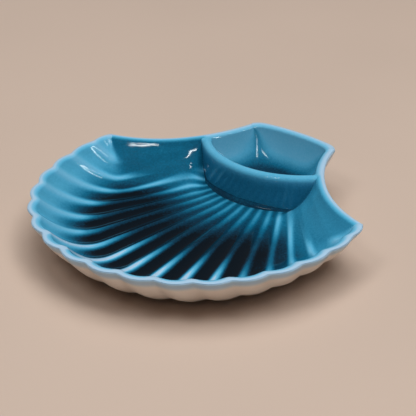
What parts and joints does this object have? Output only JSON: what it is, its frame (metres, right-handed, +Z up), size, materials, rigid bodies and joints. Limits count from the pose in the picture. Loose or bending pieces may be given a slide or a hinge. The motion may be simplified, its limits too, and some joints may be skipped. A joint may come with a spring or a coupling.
{
  "type": "seashell platter",
  "caption": "Scallop shell shaped serving dish of glazed earthenware, with a ribbed fan well for food and a dip cup behind a curved divider at the hinge end.",
  "frame": {"origin": "on the table, under the middle of the dish's box", "axes": "+Z up from the table, -Y towards the round front of the fan, +Y towards the hinge end with the dip cup, +X to the right when seen from the front"},
  "size_m": [0.241, 0.2456, 0.0381],
  "materials": {
    "clay_body": "fired earthenware, bare where no glaze covers it",
    "bare_foot": "dry unglazed clay",
    "teal_glaze": "glossy, dark where it pools and pale where it breaks over the rim",
    "cream_glaze": "satin, cream"
  },
  "bodies": {
    "root": {"shell_body": "clay_body", "dip_divider": "clay_body", "lute_bead": "teal_glaze", "foot_ring": "bare_foot", "fan_glaze": "teal_glaze", "cup_glaze": "teal_glaze", "divider_glaze": "teal_glaze", "outer_glaze": "cream_glaze"}
  },
  "joints": []
}
